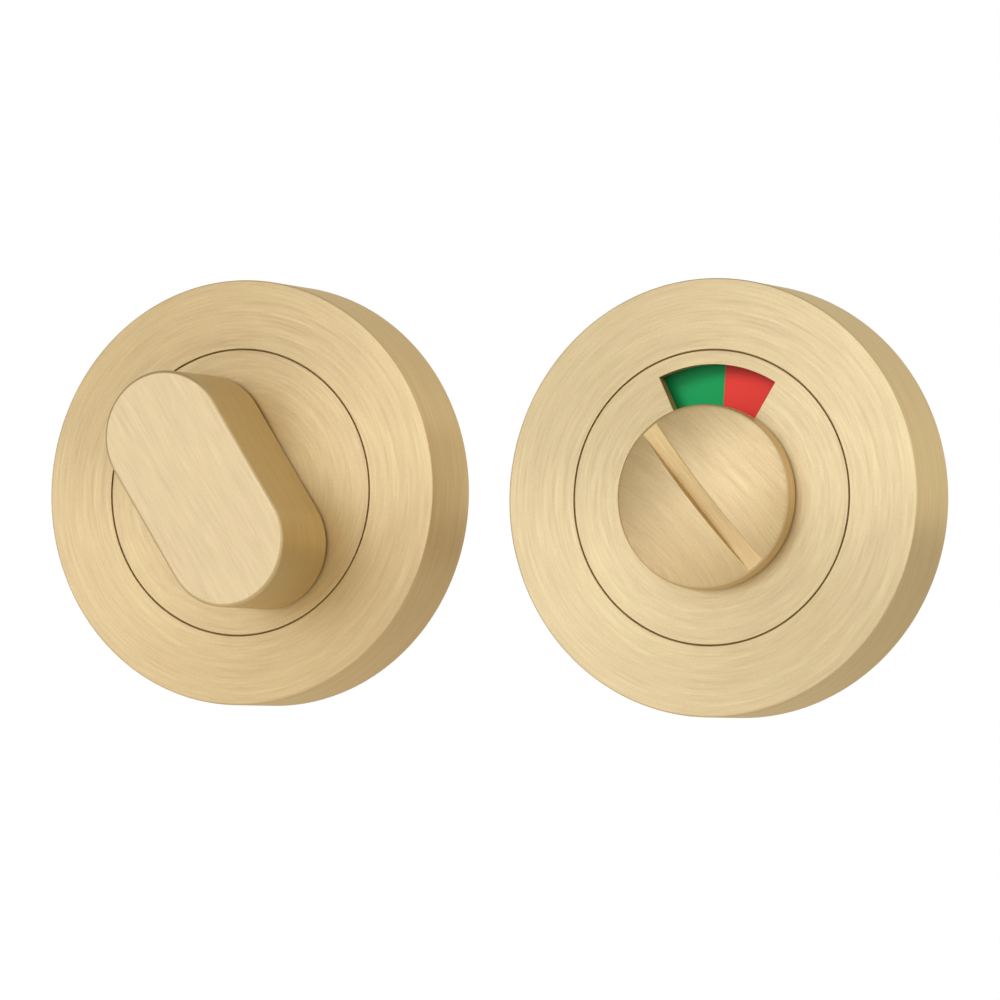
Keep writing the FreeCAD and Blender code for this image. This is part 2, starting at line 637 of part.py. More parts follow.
def fixing_bolts():
    """Two steel bolts from the turn half through the door, waisted inside the flange."""
    body = new_body("turn_fixing_bolts", several=True)
    head_top = "(flange_thickness + bolt_head_height)"
    bolt = turned(body, "bolt", [
        ("0", "-bolt_reach"),
        ("bolt_waist / 2", "-bolt_reach"),
        ("bolt_diameter / 2", "-bolt_reach + (bolt_diameter - bolt_waist) / 2"),
        ("bolt_diameter / 2", "-bolt_waist_tail"),
        ("bolt_waist / 2", "-bolt_waist_tail"),
        ("bolt_waist / 2", "flange_thickness"),
        ("bolt_head_diameter / 2", "flange_thickness"),
        ("bolt_head_diameter / 2", f"{head_top} - bolt_head_round"),
        ("bolt_head_diameter / 2 - bolt_head_round", head_top),
        ("0", head_top),
    ], lift="-" + FIXING_PITCH)
    repeated(body, "pair", bolt, "2")
    recesses = new_sketch(body, "recess_outlines", lift=head_top)
    arm = "recess_width / 2"
    end = "recess_span / 2"
    for side in ("", "-"):
        middle = side + FIXING_PITCH
        shape = [(arm, arm), (arm, end), ("-" + arm, end), ("-" + arm, arm), ("-" + end, arm),
                 ("-" + end, "-" + arm), ("-" + arm, "-" + arm), ("-" + arm, "-" + end),
                 (arm, "-" + end), (arm, "-" + arm), (end, "-" + arm), (end, arm)]
        outline(recesses, [(along, f"{middle} + ({up})") for along, up in shape])
    cut(body, "recesses", recesses, "recess_depth")
    return stand(body)


def fixing_posts():
    """Two brass posts riveted into the release half's flange, tapped for the bolts."""
    body = new_body("release_fixing_posts", several=True)
    spigot = "(fixing_hole / 2 - post_fit)"
    bore_end = "(-post_reach + post_bore_depth)"
    post = turned(body, "post", [
        ("post_bore / 2", "-post_reach"),
        ("post_diameter / 2", "-post_reach"),
        ("post_diameter / 2", "0"),
        (spigot, "0"),
        (spigot, "flange_thickness"),
        ("rivet_diameter / 2", "flange_thickness"),
        ("rivet_diameter / 2 - rivet_height / 2", "flange_thickness + rivet_height"),
        ("0", "flange_thickness + rivet_height"),
        ("0", f"{bore_end} + post_bore / 4"),
        ("post_bore / 2", bore_end),
    ], lift="-" + FIXING_PITCH)
    repeated(body, "pair", post, "2")
    return stand(body, RELEASE_AXIS)


def release_knob():
    """Turned brass knob with a domed front and a coin slot, in one piece with its shaft."""
    body = new_body("release_knob")
    rim = "(rose_depth + knob_wall_height)"
    sides = shaft_outline(RELEASE_SHAFT_END, KNOB_BACK, [RELEASE_CLIP_REAR, INDICATOR_CLIP_REAR]) + [
        ("knob_diameter / 2 - knob_edge", KNOB_BACK),
        ("knob_diameter / 2", f"{KNOB_BACK} + knob_edge"),
    ]
    front = [("knob_diameter / 2", rim), ("0", f"{rim} + knob_crown")]
    turned(body, "knob", sides + front, crown=len(sides))
    rounded(body, "rim_round", "knob_edge", at_height(rim, "knob_diameter / 4"))
    slot = new_sketch(body, "slot_outline", lift="rose_depth + slot_height")
    rectangle(slot, "-slot_width / 2", "slot_width / 2", "-knob_diameter", "knob_diameter")
    cut(body, "coin_slot", slot, "knob_diameter", forward=True)
    flats = new_sketch(body, "flat_outlines", lift=INDICATOR_FRONT)
    for side in ("", "-"):
        near, far = side + FLATS + " / 2", side + "shaft_diameter"
        rectangle(flats, near, far, "-shaft_diameter", "shaft_diameter")
    cut(body, "driving_flats", flats, f"{INDICATOR_FRONT} - {RELEASE_SHAFT_END}")
    square_socket(body, RELEASE_SHAFT_END, "release_socket_depth")
    return stand(body, RELEASE_AXIS, "knob_angle")


def indicator_plate():
    """Stamped brass plate on the shaft's flats: a round middle and the wing that carries the colours."""
    left, right = INDICATOR_LEFT, INDICATOR_REACH
    wing = sector("wing", INDICATOR_RADIUS, "indicator_thickness", INDICATOR_REAR, left, right)
    middle = doc.addObject("Part::Cylinder", "plate_middle")
    middle.setExpression("Radius", bind("indicator_hub_diameter / 2"))
    middle.setExpression("Height", bind("indicator_thickness"))
    middle.setExpression("Placement.Base.z", bind(INDICATOR_REAR))
    blank = doc.addObject("Part::Fuse", "plate_blank")
    blank.Base = wing
    blank.Tool = middle

    bore = doc.addObject("Part::Cylinder", "shaft_bore")
    bore.setExpression("Radius", bind(f"{SHAFT_RADIUS} + flats_fit"))
    width = doc.addObject("Part::Box", "shaft_width")
    width.setExpression("Length", bind(f"{FLATS} + 2 * flats_fit"))
    width.setExpression("Width", bind("2 * shaft_diameter"))
    width.setExpression("Placement.Base.x", bind(f"-({FLATS} / 2 + flats_fit)"))
    width.setExpression("Placement.Base.y", bind("-shaft_diameter"))
    for cutter in (bore, width):
        cutter.setExpression("Height", bind("3 * indicator_thickness"))
        cutter.setExpression("Placement.Base.z", bind(f"{INDICATOR_REAR} - indicator_thickness"))
    hole = doc.addObject("Part::Common", "shaft_hole")
    hole.Base = bore
    hole.Tool = width
    plate = doc.addObject("Part::Cut", "indicator_plate")
    plate.Label = "indicator_plate"
    plate.Base = blank
    plate.Tool = hole
    return stand(plate, RELEASE_AXIS, "knob_angle")


def colour_field(label, left, right):
    """Thin enamel field on the front of the indicator plate."""
    field = ring_sector(label, FIELD_INNER, INDICATOR_RADIUS, "field_thickness",
                        INDICATOR_FRONT, left, right)
    return stand(field, RELEASE_AXIS, "knob_angle")


def back_plate():
    """Brass plate that closes the release half behind and bears the shaft's rear end."""
    body = new_body("release_back_plate")
    turned(body, "disc", [
        (BUSH_BORE, "back_plate_height"),
        (f"{RELEASE_INSIDE} - back_plate_fit", "back_plate_height"),
        (f"{RELEASE_INSIDE} - back_plate_fit", BACK_PLATE_FRONT),
        (BUSH_BORE, BACK_PLATE_FRONT),
    ])
    sketch = new_sketch(body, "countersink_outline", "XZ_Plane", "-" + POST_PITCH)
    head = "(plate_screw_head / 2 + head_fit)"
    hole = "plate_screw_hole / 2"
    outline(sketch, [
        ("0", "back_plate_height"),
        (head, "back_plate_height"),
        (hole, f"back_plate_height + {head} - {hole}"),
        (hole, BACK_PLATE_FRONT),
        ("0", BACK_PLATE_FRONT),
    ])
    sink = feature(body, "Groove", "countersink", sketch)
    sink.ReferenceAxis = (sketch, ["V_Axis"])
    sink.Angle = 360
    before = body.Shape.Volume
    doc.recompute()
    if sink.Shape.Volume >= before:
        raise RuntimeError("the countersink cuts nothing")
    repeated(body, "countersinks", sink, "2", "360 - 2 * stop_post_angle")
    return stand(body, RELEASE_AXIS, "stop_post_angle")


def plate_screws():
    """Two countersunk steel screws from the bearing plate into the stop posts."""
    body = new_body("back_plate_screws", several=True)
    shank = "plate_screw_diameter / 2"
    head = "plate_screw_head / 2"
    screw = turned(body, "screw", [
        ("0", "back_plate_height"),
        (head, "back_plate_height"),
        (shank, f"back_plate_height + {head} - {shank}"),
        (shank, f"back_plate_height + plate_screw_length - {shank} / 2"),
        (f"{shank} / 2", "back_plate_height + plate_screw_length"),
        ("0", "back_plate_height + plate_screw_length"),
    ], lift="-" + POST_PITCH)
    repeated(body, "pair", screw, "2", "360 - 2 * stop_post_angle")
    return stand(body, RELEASE_AXIS, "stop_post_angle")


def turn_half():
    return [
        rose_cover("turn_rose_cover", "0"),
        turn_base(),
        bush("turn_bush", "0", TURN_BUSH_REAR, "hub_height"),
        thumb_turn(),
        spindle(),
        spindle_pin(),
        wave_washer("turn_wave_washer", "0", f"({TURN_CLIP_REAR} + clip_thickness)"),
        retaining_ring("turn_retaining_ring", "0", "turn_angle", TURN_CLIP_REAR),
        fixing_bolts(),
    ]


def release_half():
    return [
        rose_cover("release_rose_cover", RELEASE_AXIS),
        release_base(),
        bush("release_bush", RELEASE_AXIS, f"({WINDOW_UNDERSIDE} - bush_flange)", WINDOW_UNDERSIDE),
        release_knob(),
        indicator_plate(),
        colour_field("indicator_green", INDICATOR_LEFT, "boundary_angle"),
        colour_field("indicator_red", "(-boundary_angle)", INDICATOR_REACH),
        retaining_ring("indicator_retaining_ring", RELEASE_AXIS, "knob_angle", INDICATOR_CLIP_REAR),
        back_plate(),
        plate_screws(),
        wave_washer("release_wave_washer", RELEASE_AXIS, f"({RELEASE_CLIP_REAR} + clip_thickness)"),
        retaining_ring("release_retaining_ring", RELEASE_AXIS, "knob_angle", RELEASE_CLIP_REAR),
        fixing_posts(),
    ]


def check(pieces):
    """Stops before anything is written if a feature failed or a piece has no sound solid."""
    for item in doc.Objects:
        if "Invalid" in item.State or "Error" in item.State:
            raise RuntimeError(f"{item.Label} failed: {item.State}")
    for piece in pieces:
        shape = piece.Shape
        if shape.isNull() or not shape.isValid() or not shape.Solids:
            raise RuntimeError(f"{piece.Label} has no sound solid")


pieces = turn_half() + release_half()
doc.recompute()
check(pieces)
os.makedirs("parts", exist_ok=True)
for piece in pieces:
    piece.Shape.exportStep(f"parts/{piece.Label}.step")
    print(piece.Label, len(piece.Shape.Solids), round(piece.Shape.Volume, 1))
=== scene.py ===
import math

import bmesh
import bpy
from mathutils import Matrix, Vector


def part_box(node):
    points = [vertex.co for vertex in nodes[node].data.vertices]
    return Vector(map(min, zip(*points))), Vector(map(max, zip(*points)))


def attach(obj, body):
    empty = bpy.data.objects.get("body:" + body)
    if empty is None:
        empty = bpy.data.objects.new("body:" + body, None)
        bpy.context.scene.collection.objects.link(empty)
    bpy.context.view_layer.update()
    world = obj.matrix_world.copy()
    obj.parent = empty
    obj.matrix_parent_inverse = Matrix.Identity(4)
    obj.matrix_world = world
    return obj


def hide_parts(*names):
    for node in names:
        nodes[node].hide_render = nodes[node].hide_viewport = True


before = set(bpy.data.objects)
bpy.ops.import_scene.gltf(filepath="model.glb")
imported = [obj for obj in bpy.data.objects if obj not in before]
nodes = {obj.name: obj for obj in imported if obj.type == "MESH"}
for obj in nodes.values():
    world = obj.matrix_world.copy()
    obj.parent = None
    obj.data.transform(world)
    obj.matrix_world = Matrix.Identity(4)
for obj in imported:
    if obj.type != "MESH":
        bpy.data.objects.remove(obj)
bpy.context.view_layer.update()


# The base of the turn half: cast brass with ribs behind, its round face turned flush with the cover.
# The face shows the fine rings of the polishing lathe, and the rest keeps the brown skin of the casting.
# Its rim is threaded for the cover, and two holes in its flange take the fixing bolts.

MM = 0.001
WELD = 0.0005
NEAR = 0.001
INTO_DOOR = Vector((0, 1, 0))


def lathe(outline, along=0, up=0, steps=192):
    """A turned solid in millimetres about an axis along Y.

    The outline gives corners as (radius, height above the door, rounding), joined in order.
    """
    form = bmesh.new()
    corners = [form.verts.new((along + radius, -height, up)) for radius, height, _ in outline]
    for start, end in zip(corners, corners[1:] + corners[:1]):
        if start.co.x > along or end.co.x > along:
            form.edges.new((start, end))
    for corner, (_, _, rounding) in zip(corners, outline):
        if rounding:
            bmesh.ops.bevel(form, geom=[corner], offset=rounding, offset_type="OFFSET", affect="VERTICES",
                            segments=5, profile=0.5, material=-1)
    bmesh.ops.spin(form, geom=form.verts[:] + form.edges[:], cent=(along, 0, up), axis=INTO_DOOR,
                   angle=2 * math.pi, steps=steps, use_merge=True)
    bmesh.ops.remove_doubles(form, verts=form.verts, dist=WELD)
    bmesh.ops.recalc_face_normals(form, faces=form.faces)
    return form


def thread_wall(radius, start, end, pitch, steps=6):
    """Corners along a wall that is to be threaded, with so many steps to each turn of the thread."""
    count = round(abs(end - start) / pitch * steps)
    return [(radius, start + (end - start) * index / count, 0) for index in range(count + 1)]


def cut_thread(form, radius, low, high, pitch, depth, along=0, up=0):
    """Cuts a right-hand thread in the wall at a radius between two heights, outward if depth is above 0."""
    wall_play = 0.02
    for corner in form.verts:
        outward = Vector((corner.co.x - along, 0, corner.co.z - up))
        height = -corner.co.y
        if abs(outward.length - radius) < wall_play and low <= height <= high:
            turn = math.atan2(outward.x, outward.z) / (2 * math.pi)
            phase = (height / pitch + turn) % 1
            run_out = min(1, (height - low) / pitch, (high - height) / pitch)
            corner.co += outward.normalized() * depth * run_out * (1 - abs(2 * phase - 1))


def block(low, high):
    """A rectangular block between two corners, in millimetres."""
    form = bmesh.new()
    bmesh.ops.create_cube(form, size=1)
    low, high = Vector(low), Vector(high)
    place = Matrix.Translation((low + high) / 2) @ Matrix.Diagonal((high - low).to_4d())
    bmesh.ops.transform(form, matrix=place, verts=form.verts)
    return form


def copies_around(form, along, count, angle=2 * math.pi):
    """Repeats the form about an axis, count in all, spread over the angle."""
    bmesh.ops.spin(form, geom=form.verts[:] + form.edges[:] + form.faces[:], cent=(along, 0, 0),
                   axis=INTO_DOOR, angle=angle * (count - 1) / count, steps=count - 1, use_duplicate=True)
    return form


def merged(form, other, operation="UNION"):
    """The first form joined with the other one, or less it."""
    blanks = []
    for part in (form, other):
        mesh = bpy.data.meshes.new("blank")
        part.to_mesh(mesh)
        part.free()
        blank = bpy.data.objects.new("blank", mesh)
        bpy.context.scene.collection.objects.link(blank)
        blanks.append(blank)
    change = blanks[0].modifiers.new("change", "BOOLEAN")
    change.object = blanks[1]
    change.operation = operation
    change.solver = "EXACT"
    evaluated = blanks[0].evaluated_get(bpy.context.evaluated_depsgraph_get())
    result = bmesh.new()
    result.from_mesh(evaluated.to_mesh())
    evaluated.to_mesh_clear()
    for blank in blanks:
        bpy.data.meshes.remove(blank.data)
    bmesh.ops.remove_doubles(result, verts=result.verts, dist=WELD)
    return result


def carved(form, cutter):
    """The form less the cutter."""
    return merged(form, cutter, "DIFFERENCE")


def finished(name, form, crease=30):
    """The form as an object in metres, smooth but for edges sharper than crease degrees."""
    bmesh.ops.scale(form, vec=(MM, MM, MM), verts=form.verts)
    mesh = bpy.data.meshes.new(name)
    form.to_mesh(mesh)
    form.free()
    mesh.shade_smooth()
    mesh.set_sharp_from_angle(angle=math.radians(crease))
    piece = bpy.data.objects.new(name, mesh)
    bpy.context.scene.collection.objects.link(piece)
    return piece


def make_piece(name, form, finish, node, body, second_finish=None):
    """Shows the form in place of a node, in its finish and on the body that carries it.

    Faces with the material index 1 take the second finish.
    """
    piece = finished(name, form)
    piece.modifiers.new("flat_faces_stay_flat", "WEIGHTED_NORMAL").keep_sharp = True
    piece.data.materials.append(finish)
    if second_finish:
        piece.data.materials.append(second_finish)
    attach(piece, body)
    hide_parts(node)


def add_node(tree, kind, inputs=None, **settings):
    """A shader node with its settings made and each input linked or set."""
    made = tree.nodes.new("ShaderNode" + kind)
    for name, value in settings.items():
        setattr(made, name, value)
    for key, value in (inputs or {}).items():
        if isinstance(value, bpy.types.NodeSocket):
            tree.links.new(value, made.inputs[key])
        else:
            made.inputs[key].default_value = value
    return made


def reckon(tree, operation, *values):
    """One sum of the Math node."""
    return add_node(tree, "Math", dict(enumerate(values)), operation=operation).outputs[0]


def ramp(tree, value, start, end, low=0, high=1):
    """A value that runs from low to high as another runs from start to end."""
    limits = {"Value": value, "From Min": start, "From Max": end, "To Min": low, "To Max": high}
    return add_node(tree, "MapRange", limits).outputs[0]


def noise(tree, place, scale=1, detail=3, roughness=0.55):
    grit = {"Vector": place, "Scale": scale, "Detail": detail, "Roughness": roughness}
    return add_node(tree, "TexNoise", grit).outputs[0]


def mixed(tree, factor, low, high):
    """A colour between two colours."""
    return add_node(tree, "Mix", {0: factor, 6: low, 7: high}, data_type="RGBA").outputs[2]


def blend(tree, factor, low, high):
    """A value between two values."""
    return add_node(tree, "Mix", {0: factor, 2: low, 3: high}, data_type="FLOAT").outputs[0]


def new_finish(name):
    """An empty material with one surface shader, and its node tree."""
    finish = bpy.data.materials.new(name)
    finish.use_nodes = True
    return finish, finish.node_tree, finish.node_tree.nodes["Principled BSDF"]


def rings_around(axis):
    """The grain of a piece polished on the lathe: its noise and the direction across it."""
    def grain(tree, place, lines_per_mm, streak):
        centred = add_node(tree, "Mapping", {0: place.outputs["Object"], "Location": (-axis * MM, 0, 0)})
        along = add_node(tree, "SeparateXYZ", {0: centred.outputs[0]})
        flat = add_node(tree, "CombineXYZ", {"X": along.outputs["X"], "Z": along.outputs["Z"]})
        radius = add_node(tree, "VectorMath", {0: flat.outputs[0]}, operation="LENGTH")
        outward = add_node(tree, "VectorMath", {0: flat.outputs[0]}, operation="NORMALIZE")
        reach = reckon(tree, "ADD", radius.outputs["Value"], along.outputs["Y"])
        rings = reckon(tree, "MULTIPLY", reach, lines_per_mm / MM)
        spread = add_node(tree, "VectorMath", {0: outward.outputs[0], "Scale": streak}, operation="SCALE")
        around = add_node(tree, "SeparateXYZ", {0: spread.outputs[0]})
        lines = add_node(tree, "CombineXYZ", {0: rings, 1: around.outputs["X"], 2: around.outputs["Z"]})
        return lines.outputs[0], outward.outputs[0]
    return grain


def across_grain(tree, place, sideways):
    """The direction across the scratches: sideways on a front face, and along Y on a side wall."""
    normal = add_node(tree, "SeparateXYZ", {0: place.outputs["Normal"]})
    facing = reckon(tree, "ABSOLUTE", normal.outputs["Y"])
    mix = add_node(tree, "Mix", {0: facing, 4: INTO_DOOR, 5: sideways}, data_type="VECTOR")
    turn = add_node(tree, "VectorTransform", {0: mix.outputs[1]}, vector_type="VECTOR",
                    convert_from="OBJECT", convert_to="WORLD")
    return turn.outputs[0]


SKIN_AND_SHADE_DARK = (0.30, 0.205, 0.085, 1)
SKIN_AND_SHADE_LIGHT = (0.46, 0.33, 0.15, 1)
fine_lines_per_mm = 4
fine_streak = 3.5
broad_lines_per_mm = 1.2
broad_streak = 1
broad_share = 0.28
patch_share = 0.3
cloud_share = 0.35
hue_shift = 0.005
gloss_shift = 0.04
skin_fade = 0.2
sand_relief = 6


def satin_brass(name, grain, light, dark, roughness=0.42, anisotropy=0.8, skin_and_shade_behind=None):
    """Brushed and lacquered brass, with the dark skin of the casting behind a height above the door, which
    on recessed walls is also painted shade.
    """
    finish, tree, surface = new_finish(name)
    place = add_node(tree, "TexCoord")
    fine_lines, sideways = grain(tree, place, fine_lines_per_mm, fine_streak)
    broad_lines, _ = grain(tree, place, broad_lines_per_mm, broad_streak)
    fine = noise(tree, fine_lines, detail=3, roughness=0.6)
    broad = noise(tree, broad_lines)
    mottle = noise(tree, place.outputs["Object"], scale=4000, detail=2, roughness=0.6)
    patches = noise(tree, place.outputs["Object"], scale=80)
    scratches = blend(tree, broad_share, fine, broad)
    cloudy = blend(tree, patch_share, mottle, patches)
    tone = ramp(tree, blend(tree, cloud_share, scratches, cloudy), 0.38, 0.62)
    hue = ramp(tree, broad, 0.3, 0.7, 0.5 - hue_shift, 0.5 + hue_shift)
    tinted = {"Hue": hue, "Color": mixed(tree, tone, dark, light)}
    colour = add_node(tree, "HueSaturation", tinted).outputs[0]
    gloss = ramp(tree, scratches, 0.3, 0.7, roughness + gloss_shift, roughness - gloss_shift)
    relief = scratches
    if skin_and_shade_behind is not None:
        # Behind the turned face the colour turns to dark cast skin; on walls in recesses this dark colour is
        # also painted shade.
        back = add_node(tree, "SeparateXYZ", {0: place.outputs["Object"]}).outputs["Y"]
        skin = ramp(tree, back, -skin_and_shade_behind * MM, (skin_fade - skin_and_shade_behind) * MM)
        sand = noise(tree, place.outputs["Object"], scale=4500, detail=3, roughness=0.65)
        stain = noise(tree, place.outputs["Object"], scale=450, detail=8, roughness=0.7)
        cast = mixed(tree, ramp(tree, stain, 0.3, 0.7), SKIN_AND_SHADE_DARK, SKIN_AND_SHADE_LIGHT)
        colour = mixed(tree, skin, colour, cast)
        gloss = blend(tree, skin, gloss, 0.6)
        relief = blend(tree, skin, scratches, reckon(tree, "MULTIPLY", sand, sand_relief))
    bump = add_node(tree, "Bump", {"Height": relief, "Strength": 0.4, "Distance": 0.01 * MM})
    tree.links.new(colour, surface.inputs["Base Color"])
    tree.links.new(gloss, surface.inputs["Roughness"])
    tree.links.new(bump.outputs[0], surface.inputs["Normal"])
    tree.links.new(across_grain(tree, place, sideways), surface.inputs["Tangent"])
    surface.inputs["Metallic"].default_value = 1
    surface.inputs["Anisotropic"].default_value = anisotropy
    return finish


turn_low, turn_high = (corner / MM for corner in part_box("turn_rose_cover"))
release_low, release_high = (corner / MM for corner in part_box("release_rose_cover"))
turn_axis = (turn_low.x + turn_high.x) / 2
release_axis = (release_low.x + release_high.x) / 2
rose_radius = (turn_high.x - turn_low.x) / 2
rose_depth = -turn_low.y

boss_radius = 17.59
face_radius = 17.40
seam_depth = 0.30
base_bore = 6.11
seam_round = 0.05
flange_radius = 24.15
flange_thickness = 3
cover_thread_pitch = 1
cover_thread_depth = 0.3
fixing_pitch = 21
fixing_hole = 4.6
overlap = 1
turned_depth = 0.1
TURN_LIGHT = (0.832, 0.649, 0.372, 1)
TURN_DARK = (0.718, 0.561, 0.320, 1)


def flange_and_boss():
    """The corners that both bases share: threaded flange rim, flange, boss wall and front face."""
    return thread_wall(flange_radius, 0, flange_thickness, cover_thread_pitch) + [
        (boss_radius, flange_thickness, 0.4),
        (boss_radius, rose_depth - seam_depth, 0),
        (face_radius, rose_depth - seam_depth, 0),
        (face_radius, rose_depth, seam_round),
        (base_bore, rose_depth, 0.1),
    ]


def base_with_holes(form, along):
    """The base with its flange threaded and drilled above and below the axis."""
    cut_thread(form, flange_radius, 0, flange_thickness, cover_thread_pitch, -cover_thread_depth, along)
    hole = lathe([(0, -overlap, 0), (fixing_hole / 2, -overlap, 0),
                  (fixing_hole / 2, flange_thickness + overlap, 0),
                  (0, flange_thickness + overlap, 0)], along, fixing_pitch, steps=48)
    return carved(form, copies_around(hole, along, 2))


hub_radius = 9
hub_height = 5.2
turn_face_thickness = 2.5
turn_boss_inside = 15.35
rib_thickness = 1.6
rib_count = 6
underside = rose_depth - turn_face_thickness
form = lathe([
    (base_bore, hub_height, 0.1),
    (hub_radius, hub_height, 0.4),
    (hub_radius, underside, 0.6),
    (turn_boss_inside, underside, 0.6),
    (turn_boss_inside, 0, 0.3),
] + flange_and_boss(), turn_axis)
ribs = block((turn_axis + hub_radius - overlap, -underside - overlap, -rib_thickness / 2),
             (turn_axis + turn_boss_inside + overlap, -hub_height, rib_thickness / 2))
form = merged(form, copies_around(ribs, turn_axis, rib_count))
turn_brass = satin_brass("turn_rose_brass", rings_around(turn_axis), TURN_LIGHT, TURN_DARK)
turn_cast_brass = satin_brass("turn_base_brass", rings_around(turn_axis), TURN_LIGHT, TURN_DARK,
                              skin_and_shade_behind=rose_depth - turned_depth)
make_piece("turn_base_casting", base_with_holes(form, turn_axis), turn_cast_brass, "turn_base", "roses")


# Moulded nylon bushes, pressed into the bases from behind: one carries the turn's shaft, one the release's.
# Off-white and slightly waxy, with a faint mottle from the mould.

def plain_finish(name, light, dark, roughness, metallic, mottle, relief, gloss=0.5, drawn=1):
    """Two tones, uneven gloss and a shallow relief in mm from one noise, which may be drawn out along Y."""
    finish, tree, surface = new_finish(name)
    place = add_node(tree, "TexCoord")
    stretched = add_node(tree, "Mapping", {0: place.outputs["Object"], "Scale": (1, 1 / drawn, 1)})
    cloud = noise(tree, stretched.outputs[0], scale=mottle, detail=4)
    bump = add_node(tree, "Bump", {"Height": cloud, "Strength": 0.4, "Distance": relief * MM})
    colour = mixed(tree, ramp(tree, cloud, 0.3, 0.7), dark, light)
    dullness = ramp(tree, cloud, 0.3, 0.7, roughness - 0.05, roughness + 0.05)
    tree.links.new(colour, surface.inputs["Base Color"])
    tree.links.new(dullness, surface.inputs["Roughness"])
    tree.links.new(bump.outputs[0], surface.inputs["Normal"])
    surface.inputs["Metallic"].default_value = metallic
    surface.inputs["Specular IOR Level"].default_value = gloss
    return finish


nylon = plain_finish("nylon", (0.80, 0.79, 0.73, 1), (0.74, 0.72, 0.66, 1), roughness=0.45, metallic=0,
                     mottle=900, relief=0.01)
bush_bore = 5.06
bush_outside = 6.06
bush_flange_radius = 7.5
bush_flange = 0.7
bush_set = 0.2
release_face_thickness = 1.6


def bush(half, along, seat):
    """A sleeve whose flange lies behind its seat on the base."""
    form = lathe([
        (bush_bore, seat - bush_flange, 0.15),
        (bush_flange_radius, seat - bush_flange, 0.2),
        (bush_flange_radius, seat, 0.1),
        (bush_outside, seat, 0.1),
        (bush_outside, rose_depth - bush_set, 0.15),
        (bush_bore, rose_depth - bush_set, 0.15),
    ], along, steps=96)
    make_piece(half + "_bush_sleeve", form, nylon, half + "_bush", "roses")


bush("turn", turn_axis, hub_height)
bush("release", release_axis, rose_depth - release_face_thickness)


# The thumb turn: one forged brass piece, an oval grip on a round shaft with a square socket in its end.
# It is brushed lengthwise all over, its side walls take a darker brass that is painted shade, and its edges
# are softened.

strokes_per_metre = 60


def straight_grain(axis, lean):
    """Scratches along one direction, which leans left of upright by lean, on a piece at an axis."""
    def grain(tree, place, lines_per_mm, streak):
        centred = add_node(tree, "Mapping", {0: place.outputs["Object"], "Location": (-axis * MM, 0, 0)})
        level = add_node(tree, "Mapping", {0: centred.outputs[0], "Rotation": (0, lean, 0)})
        along = add_node(tree, "SeparateXYZ", {0: level.outputs[0]})
        normal = add_node(tree, "SeparateXYZ", {0: place.outputs["Normal"]})
        facing = reckon(tree, "ABSOLUTE", normal.outputs["Y"])
        across = reckon(tree, "MULTIPLY", along.outputs["X"], facing)
        reach = reckon(tree, "MULTIPLY", reckon(tree, "ADD", across, along.outputs["Y"]), lines_per_mm / MM)
        length = reckon(tree, "MULTIPLY", along.outputs["Z"], streak * strokes_per_metre)
        lines = add_node(tree, "CombineXYZ", {0: reach, 1: length})
        return lines.outputs[0], Vector((math.cos(lean), 0, math.sin(lean)))
    return grain


def level_edges(form, height):
    """The edges of the form that lie level at a height above the door."""
    return [edge for edge in form.edges
            if all(abs(corner.co.y + height) < NEAR for corner in edge.verts)]


def oval_bar(along, length, width, back, front, back_round, front_round):
    """An upright bar with half-round ends between two heights, its edges rounded."""
    form = bmesh.new()
    corners = [form.verts.new((along + side * width / 2, -back, end * length / 2))
               for side, end in ((-1, -1), (1, -1), (1, 1), (-1, 1))]
    form.faces.new(corners)
    bmesh.ops.bevel(form, geom=corners, offset=width / 2, offset_type="OFFSET", affect="VERTICES",
                    segments=28, profile=0.5, material=-1)
    bmesh.ops.remove_doubles(form, verts=form.verts, dist=WELD)
    raised = bmesh.ops.extrude_face_region(form, geom=form.faces[:])["geom"]
    front_corners = [part for part in raised if isinstance(part, bmesh.types.BMVert)]
    bmesh.ops.translate(form, vec=(0, back - front, 0), verts=front_corners)
    bmesh.ops.recalc_face_normals(form, faces=form.faces)
    for height, rounding in ((back, back_round), (front, front_round)):
        bmesh.ops.bevel(form, geom=level_edges(form, height), offset=rounding, offset_type="OFFSET",
                        affect="EDGES", segments=5, profile=0.5, material=-1)
    return form


def shaft_corners(end, clip_rears, front):
    """Corners of a shaft from its rear end, with a groove for each retaining ring."""
    corners = [(0, end, 0), (shaft_radius, end, shaft_chamfer)]
    for rear in clip_rears:
        low, high = rear - groove_play, rear + clip_thickness + groove_play
        corners += [(shaft_radius, low, 0), (groove_radius, low, 0)]
        corners += [(groove_radius, high, 0), (shaft_radius, high, 0)]
    return corners + [(shaft_radius, front, 0)]


def leaning_left(form, along, lean):
    """The form turned about its axis, from upright to where the photograph shows it."""
    swing = Matrix.Rotation(-lean, 3, INTO_DOOR)
    bmesh.ops.rotate(form, cent=(along, 0, 0), matrix=swing, verts=form.verts)
    return form


def socket_cutter(along, end, depth):
    """A square block that cuts the socket in a shaft's rear end."""
    half = socket_side / 2
    return block((along - half, -end - depth, -half), (along + half, -end + overlap, half))


def cross_rod(radius, length):
    """A round rod that lies across the turn's shaft at the cross pin's height."""
    rod = bmesh.new()
    bmesh.ops.create_cone(rod, cap_ends=True, segments=40, radius1=radius, radius2=radius, depth=length)
    place = Matrix.Translation((turn_axis, -pin_height, 0)) @ Matrix.Rotation(math.pi / 2, 4, "Y")
    bmesh.ops.transform(rod, matrix=place, verts=rod.verts)
    return rod


